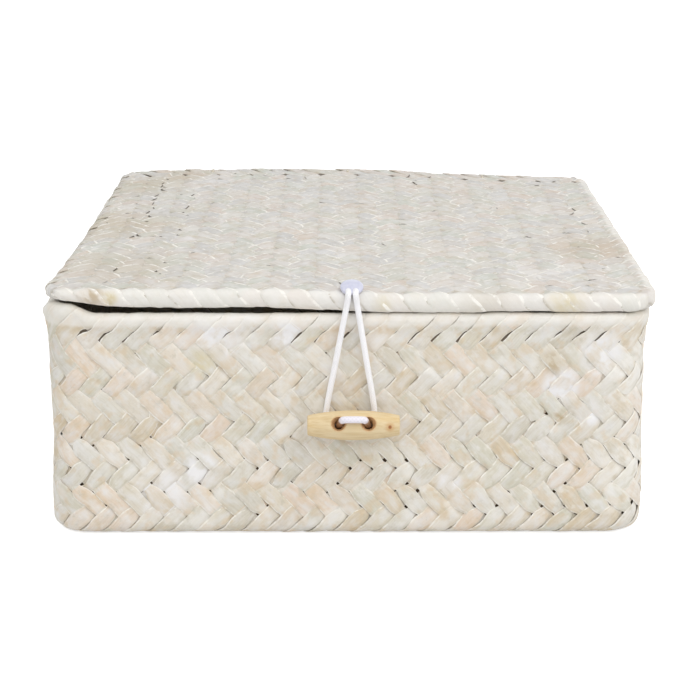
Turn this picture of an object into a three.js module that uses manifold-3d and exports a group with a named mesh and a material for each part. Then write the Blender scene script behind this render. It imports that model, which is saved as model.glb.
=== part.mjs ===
// Woven lidded box: a square plaited base with a rolled rim, a flat lid tied on along the rear,
// an elastic loop sewn under a button on the lid and hooked behind a wooden toggle on the front wall.
// Millimetres, +Z up, the front towards -Y. The origin is the middle of the flat underside.
import * as THREE from 'three';
import { mergeVertices } from 'three/addons/utils/BufferGeometryUtils.js';
import Module from 'manifold-3d';

const wasm = await Module();
wasm.setup();

// Driving sizes of the base
const baseSide = 294;
const baseHeight = 115.7;
const wallCornerRadius = 17;
const footEdgeRadius = 8;
const footSwell = 2;
const footSwellHeight = 14;
const wallStraightHeight = 48;
const outerWeaveThickness = 1.5;
const liningThickness = 1.3;
const rimFoldThickness = 1.3;
const rimFoldDepth = 9;

// Driving sizes of the lid
const lidRollRadius = 4.5;
const lidCornerRadius = 15;
const lidWeaveThickness = 1.5;
const lidLiningThickness = 1.5;
const lidSkirtThickness = 1.3;
const lidFlangeTuck = 0.7;

// Driving sizes of the fastening
const elasticDiameter = 2.8;
const elasticSpacing = 3.6;
const elasticX = 1.3;
const elasticExitAngle = 60;
const elasticBendAngle = 12;
const strandSpreadLeft = 12.9;
const strandSpreadRight = 10;
const buttonRadius = 5.6;
const buttonEdgeThickness = 1.5;
const buttonThickness = 2.6;
const buttonX = 1.2;
const buttonTilt = 15;
const buttonStandOff = 1.1;
const buttonThreadDiameter = 2.4;
const toggleLength = 45;
const toggleRadius = 7.3;
const toggleEndRadius = 5;
const toggleBevel = 0.6;
const toggleX = 2;
const toggleHeight = 61;
const toggleHoleRadius = 3.3;
const toggleHoleSpacing = 14.6;
const toggleRoll = 25;
const toggleSlack = 0.2;
const stitchDiameter = 3.2;
const stitchRise = 1;
const stitchWallDrop = 3.5;
const knotRadius = 3;
const knotHeight = 4;

// Driving sizes of the hinge ties
const tieDiameter = 1.4;
const tieSpacing = 85;
const tieCount = 3;

// Fits
const seatGap = 0.3;
const cordHoleGap = 0.3;
const overrun = 5;

// How finely round shapes are divided
const cornerSteps = 6;
const bendSteps = 5;
const rollSteps = 8;
const caneSides = 10;
const cordSides = 8;
const turnedSides = 24;
const elasticSteps = 76;
const stitchSteps = 40;

// Places that follow from the sizes
const baseHalf = baseSide / 2;
const stitchRadius = stitchDiameter / 2;
const elasticRadius = elasticDiameter / 2;
const tieRadius = tieDiameter / 2;
const liningInset = outerWeaveThickness + seatGap;
const wallDepth = liningInset + liningThickness;
const rimMiddle = -wallDepth / 2;
const rimRadius = wallDepth / 2 + seatGap + rimFoldThickness;
const rimCrownHeight = baseHeight - rimRadius;
const rimHoopRadius = rimRadius - rimFoldThickness - seatGap;
const wallTop = rimCrownHeight - rimHoopRadius - seatGap;
const rimFoldFoot = baseHeight - rimFoldDepth;
const rimHalf = baseHalf + rimMiddle;
const lidHalf = rimHalf + lidRollRadius;
const lidRollHeight = baseHeight + seatGap + lidRollRadius;
const lidTop = lidRollHeight + lidRollRadius;
const lidBottom = lidRollHeight - lidRollRadius;
const lidHoopRadius = lidRollRadius - lidWeaveThickness - seatGap;
const skirtInset = lidRollRadius + lidHoopRadius + seatGap;
const flangeInset = skirtInset + lidSkirtThickness + lidFlangeTuck;
const lidUnderside = lidTop - lidWeaveThickness - seatGap - lidLiningThickness;
const wallFront = -baseHalf;
const strandBehindToggle = wallFront - seatGap - elasticRadius;
const toggleY = wallFront - 2 * seatGap - elasticDiameter - toggleSlack - toggleRadius;
const stitchWallHeight = toggleHeight - stitchWallDrop;

const cream = new THREE.Color(0.82, 0.79, 0.7);
const paleCream = new THREE.Color(0.84, 0.82, 0.77);
const finish = {
  outerWeave: { color: cream, roughness: 0.75, metalness: 0 },
  liningWeave: { color: paleCream, roughness: 0.8, metalness: 0 },
  cane: { color: new THREE.Color(0.66, 0.52, 0.34), roughness: 0.6, metalness: 0 },
  elastic: { color: new THREE.Color(0.93, 0.93, 0.94), roughness: 0.6, metalness: 0 },
  thread: { color: new THREE.Color(0.85, 0.8, 0.7), roughness: 0.85, metalness: 0 },
  button: { color: new THREE.Color(0.86, 0.84, 0.93), roughness: 0.35, metalness: 0 },
  toggle: { color: new THREE.Color(0.84, 0.7, 0.5), roughness: 0.5, metalness: 0 },
};

const box = new THREE.Group();

// Weld a geometry's shared corners and turn its faces outwards
function closedBody(geometry) {
  const bare = geometry.clone();
  bare.deleteAttribute('normal');
  bare.deleteAttribute('uv');
  const welded = mergeVertices(bare);
  const place = welded.getAttribute('position');
  const order = Array.from(welded.index.array);
  const corner = (k) => new THREE.Vector3().fromBufferAttribute(place, order[k]);
  let volume = 0;
  const kept = [];
  for (let k = 0; k < order.length; k += 3) {
    const [a, b, c] = order.slice(k, k + 3);
    if (a === b || b === c || c === a) continue;
    volume += corner(k).dot(corner(k + 1).cross(corner(k + 2)));
    kept.push(a, b, c);
  }
  if (volume < 0) kept.reverse();
  welded.setIndex(kept);
  return welded;
}

function solidOf(geometry) {
  const body = closedBody(geometry);
  const vertProperties = new Float32Array(body.getAttribute('position').array);
  const triVerts = new Uint32Array(body.index.array);
  return new wasm.Manifold(new wasm.Mesh({ numProp: 3, vertProperties, triVerts }));
}

function geometryOf(solid) {
  const mesh = solid.getMesh();
  const geometry = new THREE.BufferGeometry();
  geometry.setAttribute('position', new THREE.BufferAttribute(new Float32Array(mesh.vertProperties), 3));
  geometry.setIndex(Array.from(mesh.triVerts));
  return geometry;
}

function cut(geometry, tools) {
  let solid = solidOf(geometry);
  for (const tool of tools) solid = solid.subtract(solidOf(tool));
  return geometryOf(solid);
}

function addPiece(name, geometry, look) {
  const piece = new THREE.Mesh(closedBody(geometry), new THREE.MeshStandardMaterial(look));
  piece.name = name;
  box.add(piece);
}

// Points of an arc in a section, whose first axis runs outwards and whose second runs up
function arc(centreOut, centreUp, radius, fromDegrees, toDegrees, steps) {
  const points = [];
  for (let k = 0; k <= steps; k += 1) {
    const turn = THREE.MathUtils.degToRad(fromDegrees + ((toDegrees - fromDegrees) * k) / steps);
    points.push([centreOut + radius * Math.cos(turn), centreUp + radius * Math.sin(turn)]);
  }
  return points;
}

// A square ring with round corners, counter-clockwise from above
function squareRing(half, cornerRadius, height) {
  const points = [];
  for (let quarter = 0; quarter < 4; quarter += 1) {
    for (let k = 0; k <= cornerSteps; k += 1) {
      const turn = (quarter + k / cornerSteps) * (Math.PI / 2);
      const acrossX = Math.sign(Math.cos((quarter + 1 / 2) * (Math.PI / 2)));
      const acrossY = Math.sign(Math.sin((quarter + 1 / 2) * (Math.PI / 2)));
      const x = acrossX * (half - cornerRadius) + cornerRadius * Math.cos(turn);
      const y = acrossY * (half - cornerRadius) + cornerRadius * Math.sin(turn);
      points.push([x, y, height]);
    }
  }
  return points;
}

// Sweep a section round the square plan. A section that isn't closed on itself is a dish,
// whose two ends run in flat to the middle.
function squareSweep(section, half, cornerRadius, dish) {
  const rings = section.map(([out, up]) => squareRing(half + out, cornerRadius + out, up));
  const around = rings[0].length;
  const place = rings.flat(2);
  const index = [];
  const bands = dish ? rings.length - 1 : rings.length;
  for (let i = 0; i < bands; i += 1) {
    const low = i * around;
    const high = ((i + 1) % rings.length) * around;
    for (let j = 0; j < around; j += 1) {
      const next = (j + 1) % around;
      index.push(low + j, low + next, high + next, low + j, high + next, high + j);
    }
  }
  if (dish) {
    const first = place.length / 3;
    place.push(0, 0, section[0][1], 0, 0, section[section.length - 1][1]);
    const top = (rings.length - 1) * around;
    for (let j = 0; j < around; j += 1) {
      const next = (j + 1) % around;
      index.push(first, next, j, first + 1, top + j, top + next);
    }
  }
  const geometry = new THREE.BufferGeometry();
  geometry.setAttribute('position', new THREE.Float32BufferAttribute(place, 3));
  geometry.setIndex(index);
  return geometry;
}

function roundSection(radius, sides) {
  const shape = new THREE.Shape();
  for (let k = 0; k < sides; k += 1) {
    const turn = (2 * Math.PI * k) / sides;
    const [x, y] = [radius * Math.cos(turn), radius * Math.sin(turn)];
    if (k === 0) shape.moveTo(x, y);
    else shape.lineTo(x, y);
  }
  shape.closePath();
  return shape;
}

// A round cord along a smooth curve through the given points
function cord(points, radius, steps) {
  const extrudePath = new THREE.CatmullRomCurve3(points.map((p) => new THREE.Vector3(...p)));
  return new THREE.ExtrudeGeometry(roundSection(radius, cordSides), { steps, bevelEnabled: false, extrudePath });
}

// A closed loop of cord that lies in the plane across X at the given place
function loopAcrossX(x, points, radius) {
  const place = [];
  const index = [];
  const count = points.length;
  for (let i = 0; i < count; i += 1) {
    const before = new THREE.Vector2(...points[(i + count - 1) % count]);
    const here = new THREE.Vector2(...points[i]);
    const after = new THREE.Vector2(...points[(i + 1) % count]);
    const into = here.clone().sub(before).normalize();
    const out = after.clone().sub(here).normalize();
    const along = into.clone().add(out).normalize();
    const side = new THREE.Vector2(-along.y, along.x).divideScalar(along.dot(out));
    for (let k = 0; k < cordSides; k += 1) {
      const turn = (2 * Math.PI * k) / cordSides;
      const reach = radius * Math.cos(turn);
      place.push(x + radius * Math.sin(turn), here.x + side.x * reach, here.y + side.y * reach);
      const next = (k + 1) % cordSides;
      const [low, high] = [i * cordSides, ((i + 1) % count) * cordSides];
      index.push(low + k, low + next, high + next, low + k, high + next, high + k);
    }
  }
  const geometry = new THREE.BufferGeometry();
  geometry.setAttribute('position', new THREE.Float32BufferAttribute(place, 3));
  geometry.setIndex(index);
  return geometry;
}

// A cylinder from one point to another
function rod(from, to, radius, sides) {
  const [a, b] = [new THREE.Vector3(...from), new THREE.Vector3(...to)];
  const geometry = new THREE.CylinderGeometry(radius, radius, a.distanceTo(b), sides);
  const turn = new THREE.Quaternion().setFromUnitVectors(new THREE.Vector3(0, 1, 0), b.clone().sub(a).normalize());
  geometry.applyQuaternion(turn);
  const middle = a.add(b).divideScalar(2);
  geometry.translate(middle.x, middle.y, middle.z);
  return geometry;
}

// Point beside the lid's front roll, at an angle forward from its top and a distance from its middle
function besideRoll(x, degrees, distance) {
  const turn = THREE.MathUtils.degToRad(degrees);
  return [x, -rimHalf - distance * Math.sin(turn), lidRollHeight + distance * Math.cos(turn)];
}

// Holes that the toggle's stitch and the hinge ties take through the walls
function wallHoles() {
  const reach = wallDepth + footSwell + overrun;
  const holes = stitchPlaces().map((x) =>
    rod([x, wallFront - overrun, stitchWallHeight], [x, wallFront + reach, stitchWallHeight],
      stitchRadius + cordHoleGap, turnedSides));
  for (const x of tiePlaces()) {
    const z = tieHoleHeight();
    holes.push(rod([x, baseHalf + overrun, z], [x, baseHalf - reach, z], tieRadius + cordHoleGap, caneSides));
  }
  return holes;
}

function stitchPlaces() {
  return [toggleX - toggleHoleSpacing / 2, toggleX + toggleHoleSpacing / 2];
}

function tiePlaces() {
  return Array.from({ length: tieCount }, (unused, k) => (k - (tieCount - 1) / 2) * tieSpacing);
}

function tieHoleHeight() {
  return rimFoldFoot - seatGap - tieRadius;
}

function tieLidHole() {
  return lidHalf - flangeInset - seatGap - tieRadius;
}

// One skin of the base: floor, round foot edge, slightly swelled foot and straight walls
function wallSection(inset, thickness) {
  const footCentre = footSwell - footEdgeRadius;
  const [outer, inner] = [footEdgeRadius - inset, footEdgeRadius - inset - thickness];
  return [
    ...arc(footCentre, footEdgeRadius, outer, -90, 0, bendSteps),
    [footSwell - inset, footSwellHeight],
    [-inset, wallStraightHeight],
    [-inset, wallTop],
    [-inset - thickness, wallTop],
    [-inset - thickness, wallStraightHeight],
    [footSwell - inset - thickness, footSwellHeight],
    ...arc(footCentre, footEdgeRadius, inner, 0, -90, bendSteps),
  ];
}

function baseSkin(inset, thickness) {
  return cut(squareSweep(wallSection(inset, thickness), baseHalf, wallCornerRadius, true), wallHoles());
}

function hoop(half, cornerRadius, middle, height, radius) {
  const section = arc(middle, height, radius, 0, 360 - 360 / caneSides, caneSides - 1);
  return squareSweep(section, half, cornerRadius, false);
}

// The weave folded over the cane at the top of the walls
function rimFold() {
  const [outside, inside] = [rimMiddle + rimRadius, rimMiddle - rimRadius];
  const section = [
    [outside, rimFoldFoot],
    ...arc(rimMiddle, rimCrownHeight, rimRadius, 0, 180, rollSteps),
    [inside, rimFoldFoot],
    [inside + rimFoldThickness, rimFoldFoot],
    ...arc(rimMiddle, rimCrownHeight, rimRadius - rimFoldThickness, 180, 0, rollSteps),
    [outside - rimFoldThickness, rimFoldFoot],
  ];
  return squareSweep(section, baseHalf, wallCornerRadius, false);
}

// The lid's upper weave, which rolls round its cane and tucks in underneath
function lidWeave() {
  const inner = lidRollRadius - lidWeaveThickness;
  const section = [
    ...arc(-lidRollRadius, lidRollHeight, inner, 90, -90, rollSteps),
    [-flangeInset, lidBottom + lidWeaveThickness],
    [-flangeInset, lidBottom],
    ...arc(-lidRollRadius, lidRollHeight, lidRollRadius, -90, 90, rollSteps),
  ];
  const holes = strandPlaces().map((x) =>
    rod(besideRoll(x, elasticExitAngle, 0), besideRoll(x, elasticExitAngle, lidRollRadius + overrun),
      elasticRadius + cordHoleGap, turnedSides));
  holes.push(rod(besideRoll(buttonX, buttonTilt, 0), besideRoll(buttonX, buttonTilt, lidRollRadius + overrun),
    buttonThreadDiameter / 2 + cordHoleGap, turnedSides));
  return cut(squareSweep(section, lidHalf, lidCornerRadius, true), [...holes, ...lidTieHoles()]);
}

function lidTieHoles() {
  return tiePlaces().map((x) =>
    rod([x, tieLidHole(), lidUnderside - overrun], [x, tieLidHole(), lidTop + overrun],
      tieRadius + cordHoleGap, caneSides));
}

// The lid's under weave, with a skirt that stands inside the cane
function lidLining() {
  const skirtFoot = lidBottom + lidWeaveThickness + seatGap;
  const section = [
    [-skirtInset - lidSkirtThickness, lidUnderside],
    [-skirtInset - lidSkirtThickness, skirtFoot],
    [-skirtInset, skirtFoot],
    [-skirtInset, lidUnderside + lidLiningThickness],
  ];
  return cut(squareSweep(section, lidHalf, lidCornerRadius, true), lidTieHoles());
}

function strandPlaces() {
  return [elasticX - elasticSpacing / 2, elasticX + elasticSpacing / 2];
}

// A thin cord stitched round both rims at the rear, which ties the lid on
function hingeTie(x) {
  const clear = seatGap + tieRadius;
  const outside = baseHalf + rimMiddle + rimRadius + clear;
  const inside = baseHalf + rimMiddle - rimRadius - clear;
  const [hole, lidHole] = [tieHoleHeight(), tieLidHole()];
  const overRoll = arc(rimHalf, lidRollHeight, lidRollRadius + clear, 0, 90, bendSteps);
  const points = [
    [baseHalf - wallDepth, hole],
    [baseHalf, hole],
    [outside - tieRadius / 2, hole],
    [outside, hole + tieRadius / 2],
    ...overRoll,
    [lidHole + tieRadius, lidTop + clear],
    [lidHole, lidTop + clear - tieRadius],
    [lidHole, lidBottom - clear],
    [inside, lidBottom - lidRollRadius],
    [inside, hole + tieRadius / 2],
    [inside + tieRadius / 2, hole],
  ];
  return loopAcrossX(x, points, tieRadius);
}

function button() {
  const dome = [
    [0, 0],
    [buttonRadius - buttonEdgeThickness / 3, 0],
    [buttonRadius, buttonEdgeThickness / 3],
    [buttonRadius, buttonEdgeThickness],
  ];
  const rise = buttonThickness - buttonEdgeThickness;
  for (let k = 1; k <= bendSteps; k += 1) {
    const turn = (Math.PI / 2) * (k / bendSteps);
    dome.push([buttonRadius * Math.cos(turn), buttonEdgeThickness + rise * Math.sin(turn)]);
  }
  dome[dome.length - 1][0] = 0;
  const geometry = new THREE.LatheGeometry(dome.map((p) => new THREE.Vector2(...p)), turnedSides);
  geometry.rotateX(Math.PI / 2 + THREE.MathUtils.degToRad(buttonTilt));
  geometry.translate(...besideRoll(buttonX, buttonTilt, lidRollRadius + buttonStandOff));
  return geometry;
}

function buttonThread() {
  return rod(besideRoll(buttonX, buttonTilt, lidHoopRadius + seatGap),
    besideRoll(buttonX, buttonTilt, lidRollRadius + buttonStandOff - seatGap),
    buttonThreadDiameter / 2, turnedSides);
}

// The elastic, from the weave under the button, over the lid's roll, down behind the toggle,
// round the toggle's stitch and up again. The shares bend it round the stitch.
function elasticLoop() {
  const [left, right] = strandPlaces();
  const lying = lidRollRadius + seatGap + elasticRadius;
  const turnHeight = stitchWallHeight - stitchRadius - seatGap - elasticRadius;
  const besideStitch = toggleHoleSpacing / 2 + stitchRadius + 2 * seatGap + elasticRadius;
  const behind = (out, height) => [toggleX + out, strandBehindToggle, height];
  const half = (x, spread) => {
    const way = Math.sign(spread);
    const tangent = besideRoll(x, 90, lying);
    const held = behind(spread, toggleHeight + toggleRadius);
    const downShares = [0.16, 0.58];
    const straight = downShares.map((share) => tangent.map((start, k) => start + (held[k] - start) * share));
    return [
      besideRoll(x, elasticExitAngle, lidHoopRadius + seatGap),
      besideRoll(x, elasticExitAngle, lidRollRadius),
      besideRoll(x, elasticExitAngle + elasticBendAngle, lidRollRadius + elasticRadius),
      tangent,
      ...straight,
      held,
      behind(spread * 1.04, toggleHeight + elasticRadius),
      behind(way * besideStitch, stitchWallHeight),
      behind(way * (besideStitch - elasticRadius), turnHeight + elasticRadius / 2),
      behind(way * besideStitch / 2, turnHeight),
    ];
  };
  const route = [
    ...half(left, -strandSpreadLeft),
    behind(0, turnHeight),
    ...half(right, strandSpreadRight).reverse(),
  ];
  return cord(route, elasticRadius, elasticSteps);
}

// Barrel of turned wood with flat ends, its two holes rolled up towards the viewer
function toggle() {
  const half = toggleLength / 2;
  const stations = 12;
  const profile = [[0, -half], [toggleEndRadius - toggleBevel, -half]];
  for (let k = 0; k <= stations; k += 1) {
    const place = (2 * k) / stations - 1;
    const bulge = (toggleRadius - toggleEndRadius) * (1 - place * place);
    profile.push([toggleEndRadius + bulge, place * (half - toggleBevel)]);
  }
  profile.push([toggleEndRadius - toggleBevel, half], [0, half]);
  const barrel = new THREE.LatheGeometry(profile.map((p) => new THREE.Vector2(...p)), turnedSides);
  barrel.rotateZ(-Math.PI / 2);
  const reach = toggleRadius + overrun;
  const holes = [-1, 1].map((side) => {
    const x = (side * toggleHoleSpacing) / 2;
    return rod([x, -reach, 0], [x, reach, 0], toggleHoleRadius, turnedSides);
  });
  const geometry = cut(barrel, holes);
  geometry.rotateX(-THREE.MathUtils.degToRad(toggleRoll));
  geometry.translate(toggleX, toggleY, toggleHeight);
  return geometry;
}

// Point in the toggle's rolled frame: along it, forward along its holes, and across them
function inToggle(along, forward, up) {
  const turn = THREE.MathUtils.degToRad(toggleRoll);
  return [
    toggleX + along,
    toggleY - forward * Math.cos(turn) + up * Math.sin(turn),
    toggleHeight + forward * Math.sin(turn) + up * Math.cos(turn),
  ];
}

// The cord that sews the toggle on: out through the wall, through one hole, across the front of
// the toggle, and back through the other hole and the wall
function toggleStitch() {
  const legs = toggleHoleSpacing / 2;
  const inside = wallFront + wallDepth + seatGap;
  const across = toggleRadius + seatGap + stitchRadius;
  const half = [
    [toggleX - legs, inside, stitchWallHeight],
    [toggleX - legs, wallFront, stitchWallHeight],
    inToggle(-legs, -toggleRadius, stitchRise),
    inToggle(-legs, 0, stitchRise),
    inToggle(-legs, toggleRadius - stitchRadius, stitchRise),
    inToggle(stitchRadius / 2 - legs, across - stitchRadius / 2, stitchRise),
    inToggle(stitchDiameter - legs, across + stitchRadius / 8, stitchRise),
  ];
  const crest = inToggle(0, across + stitchRadius / 4, stitchRise);
  const mirrored = half.map(([x, y, z]) => [2 * toggleX - x, y, z]).reverse();
  return cord([...half, crest, ...mirrored], stitchRadius, stitchSteps);
}

// Knot inside the front wall that holds one end of the toggle's cord
function stitchKnot(x) {
  const knot = new THREE.SphereGeometry(knotRadius, turnedSides / 2, caneSides);
  knot.scale(1, knotHeight / (2 * knotRadius), 1);
  knot.translate(x, wallFront + wallDepth + 2 * seatGap + knotHeight / 2, stitchWallHeight);
  return knot;
}

addPiece('base_outer_weave', baseSkin(0, outerWeaveThickness), finish.outerWeave);
addPiece('base_lining_weave', baseSkin(liningInset, liningThickness), finish.liningWeave);
addPiece('base_rim_hoop', hoop(baseHalf, wallCornerRadius, rimMiddle, rimCrownHeight, rimHoopRadius), finish.cane);
addPiece('base_rim_fold', rimFold(), finish.outerWeave);
addPiece('lid_outer_weave', lidWeave(), finish.outerWeave);
addPiece('lid_lining_weave', lidLining(), finish.liningWeave);
addPiece('lid_rim_hoop', hoop(lidHalf, lidCornerRadius, -lidRollRadius, lidRollHeight, lidHoopRadius), finish.cane);
tiePlaces().forEach((x, k) => addPiece(`hinge_tie_${k + 1}`, hingeTie(x), finish.thread));
addPiece('button', button(), finish.button);
addPiece('button_thread', buttonThread(), finish.thread);
addPiece('elastic_loop', elasticLoop(), finish.elastic);
addPiece('toggle', toggle(), finish.toggle);
addPiece('toggle_cord', toggleStitch(), finish.elastic);
stitchPlaces().forEach((x, k) => addPiece(`toggle_cord_knot_${k + 1}`, stitchKnot(x), finish.elastic));

export default box;
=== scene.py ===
import math

import bpy
import numpy as np
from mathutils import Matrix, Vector


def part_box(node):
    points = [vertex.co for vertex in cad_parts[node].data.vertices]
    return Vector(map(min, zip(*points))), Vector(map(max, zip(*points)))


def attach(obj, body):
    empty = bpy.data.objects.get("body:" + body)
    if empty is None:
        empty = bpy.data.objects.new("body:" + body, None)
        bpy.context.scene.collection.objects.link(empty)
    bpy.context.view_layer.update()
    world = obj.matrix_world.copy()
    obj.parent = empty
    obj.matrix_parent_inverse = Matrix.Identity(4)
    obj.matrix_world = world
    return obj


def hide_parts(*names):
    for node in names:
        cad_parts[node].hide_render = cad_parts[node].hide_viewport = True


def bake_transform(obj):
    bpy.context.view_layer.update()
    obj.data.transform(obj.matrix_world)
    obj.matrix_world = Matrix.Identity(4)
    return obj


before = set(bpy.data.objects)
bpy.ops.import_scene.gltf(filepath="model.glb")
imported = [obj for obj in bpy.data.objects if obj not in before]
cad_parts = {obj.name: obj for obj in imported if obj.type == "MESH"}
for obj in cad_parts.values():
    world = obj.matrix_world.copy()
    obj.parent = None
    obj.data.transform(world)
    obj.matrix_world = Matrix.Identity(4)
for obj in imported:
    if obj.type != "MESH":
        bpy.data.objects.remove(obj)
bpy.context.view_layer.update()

# Sizes in metres, most of them worked out from the frame's pieces
base_low, base_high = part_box("base_outer_weave")
rim_low, rim_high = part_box("base_rim_fold")
rim_hoop_low, rim_hoop_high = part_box("base_rim_hoop")
lid_low, lid_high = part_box("lid_outer_weave")
lid_lining_low, lid_lining_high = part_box("lid_lining_weave")
lid_hoop_low, lid_hoop_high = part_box("lid_rim_hoop")
lining_low, lining_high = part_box("base_lining_weave")
toggle_low, toggle_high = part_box("toggle")
button_low, button_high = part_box("button")

rim_hoop_radius = (rim_hoop_high.z - rim_hoop_low.z) / 2
rim_half = rim_hoop_high.x - rim_hoop_radius
rim_roll_radius = rim_high.x - rim_half
rim_centre_height = rim_high.z - rim_roll_radius
wall_half = rim_half + rim_hoop_radius
wall_top = base_high.z
shoulder = wall_top - rim_roll_radius * 2
foot_swell = base_high.x - wall_half
foot_radius = 4 * foot_swell
foot_bend = 0.85 * foot_radius
foot_swell_height = 7 * foot_swell
straight_height = 24 * foot_swell
corner_radius = 0.017
corner_middle = wall_half - corner_radius
lid_roll_radius = (lid_high.z - lid_low.z) / 2
lid_half = lid_high.x
lid_roll_height = lid_low.z + lid_roll_radius
lid_roll_half = lid_half - lid_roll_radius
lid_hoop_radius = (lid_hoop_high.z - lid_hoop_low.z) / 2
lid_hoop_height = (lid_hoop_high.z + lid_hoop_low.z) / 2
lid_corner_radius = 0.015
lid_roll_corner = lid_corner_radius - lid_roll_radius
flange_width = 0.0095
lining_edge = 0.003
lining_half = lid_lining_high.x - lining_edge
lining_corner = lid_corner_radius / 2

# Sizes of the weave
strip_thickness = 0.0007
skin_middle = 0.00075
weave_rise = 0.00036
half_pitch = 0.0057
row_height = 0.006
row_start = 0.0796
core_thickness = 0.0003

# Sizes of the fastening
button_x = 0.0012
button_tilt = math.radians(22)
elastic_radius = 0.00145
stitch_radius = 0.0017
cord_gap = 0.0003
stitch_drop = 0.0035
toggle_centre = (toggle_low + toggle_high) / 2 + Vector((0, 0, 2 * cord_gap))
toggle_half = (toggle_high.x - toggle_low.x) / 2
toggle_radius = (toggle_high.z - toggle_low.z) / 2
toggle_end_radius = 0.005
toggle_roll = math.radians(25)
hole_half_spacing = 0.0073
hole_radius = 0.0033
stitch_height = toggle_centre.z - stitch_drop


def smooth_step(share):
    share = np.clip(share, 0, 1)
    return share * share * (3 - 2 * share)


# Share of 1 at a middle, dying away over a reach
def bell(value, middle, reach):
    return np.exp(-((value - middle) / reach) ** 2)


# Several sine waves at random places, as a smooth wandering value of about 1
def wander(generator, along, wave_length, waves=4):
    total = np.zeros_like(along)
    for k in range(waves):
        length = wave_length * generator.uniform(0.6, 1.7)
        total += np.sin(2 * math.pi * (along / length + generator.uniform()))
    return total / math.sqrt(waves / 2) / 1.6


# Plan of a square with round corners: place and outward direction at a distance round it
def round_square(distance, straight_half, radius):
    side = 2 * straight_half
    bend = radius * math.pi / 2
    share = np.mod(distance + straight_half, 4 * (side + bend))
    quarter = np.floor(share / (side + bend))
    rest = share - quarter * (side + bend)
    turn = np.where(rest > side, (rest - side) / radius, 0.0)
    angle = quarter * math.pi / 2
    run = np.minimum(rest, side) - straight_half
    x = run * np.cos(angle) + straight_half * np.sin(angle)
    y = run * np.sin(angle) - straight_half * np.cos(angle)
    heading = angle + turn - math.pi / 2
    return x, y, np.cos(heading), np.sin(heading)


# Distance outside a square with round corners, and the direction away from it
def beyond_square(x, y, half, radius):
    inner = half - radius
    dx = x - np.clip(x, -inner, inner)
    dy = y - np.clip(y, -inner, inner)
    inside = (dx == 0) & (dy == 0)
    to_x = inner - np.abs(x)
    to_y = inner - np.abs(y)
    reach = np.hypot(dx, dy)
    safe = np.where(reach > 0, reach, 1)
    nx = np.where(inside, np.where(to_x < to_y, np.sign(x), 0), dx / safe)
    ny = np.where(inside, np.where(to_x < to_y, 0, np.sign(y)), dy / safe)
    return np.where(inside, -np.minimum(to_x, to_y), reach) - radius, nx, ny


least_step = 1e-7


# Section line from points out from the wall's face and up, with its length, normals and lookup
class Section:
    def __init__(self, points):
        line = np.array(points)
        step = np.linalg.norm(np.diff(line, axis=0), axis=1)
        self.line = line[np.concatenate([[True], step > least_step])]
        step = np.linalg.norm(np.diff(self.line, axis=0), axis=1)
        self.run = np.concatenate([[0], np.cumsum(step)])
        slope = np.gradient(self.line, self.run, axis=0)
        normal = np.stack([-slope[:, 1], slope[:, 0]], axis=1)
        self.normal = normal / np.linalg.norm(normal, axis=1)[:, None]
        self.length = self.run[-1]

    def at(self, run):
        columns = (self.line[:, 0], self.line[:, 1], self.normal[:, 0], self.normal[:, 1])
        out, up, normal_out, normal_up = [np.interp(run, self.run, column) for column in columns]
        size = np.hypot(normal_out, normal_up)
        return out, up, normal_out / size, normal_up / size

    # Run at which the outer part of the line is at a height
    def run_at_height(self, height):
        crown = int(np.argmax(self.line[:, 1]))
        foot = crown + int(np.argmin(self.line[crown:, 1])) + 1
        return float(np.interp(-height, -self.line[crown:foot, 1], self.run[crown:foot]))


def arc_points(out, up, radius, first, last, steps):
    turns = np.radians(np.linspace(first, last, steps + 1))
    return [(out + radius * math.cos(t), up + radius * math.sin(t)) for t in turns]


def straight_points(first, last, steps=12):
    first, last = np.array(first), np.array(last)
    return [tuple(first + (last - first) * k / steps) for k in range(steps + 1)]


# Outer skin of the base, from the fold's end inside, over the rim and down to under the foot
def outer_section():
    rim_out = rim_half - wall_half
    fold = rim_roll_radius - skin_middle
    foot = foot_bend - skin_middle
    level = skin_middle + weave_rise
    swollen = foot_swell - skin_middle
    points = [(rim_out - fold, rim_low.z + skin_middle)]
    points += arc_points(rim_out, rim_centre_height, fold, 180, 0, 24)
    points += straight_points((-skin_middle, shoulder), (-skin_middle, straight_height))
    points += straight_points((swollen, foot_swell_height * 1.5), (swollen, foot_swell_height))
    points += arc_points(foot_swell - foot_bend, foot + level, foot, 0, -90, 16)
    points.append((foot_swell - 2 * foot_radius, level))
    return Section(points)


# Lining of the base's walls, from the floor up to under the fold
def inner_section():
    face = -(wall_half - (lining_high.x - foot_swell)) - skin_middle * 2
    bend = foot_radius / 2
    floor = lining_low.z + skin_middle * 2
    foot = face + foot_swell - bend
    points = [(foot - foot_radius, floor)]
    points += arc_points(foot, floor + bend, bend, -90, 0, 8)
    points += straight_points((face + foot_swell, floor + bend), (face, straight_height), 6)
    points += straight_points((face, straight_height), (face, wall_top - rim_roll_radius / 2), 6)
    return Section(points)


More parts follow.
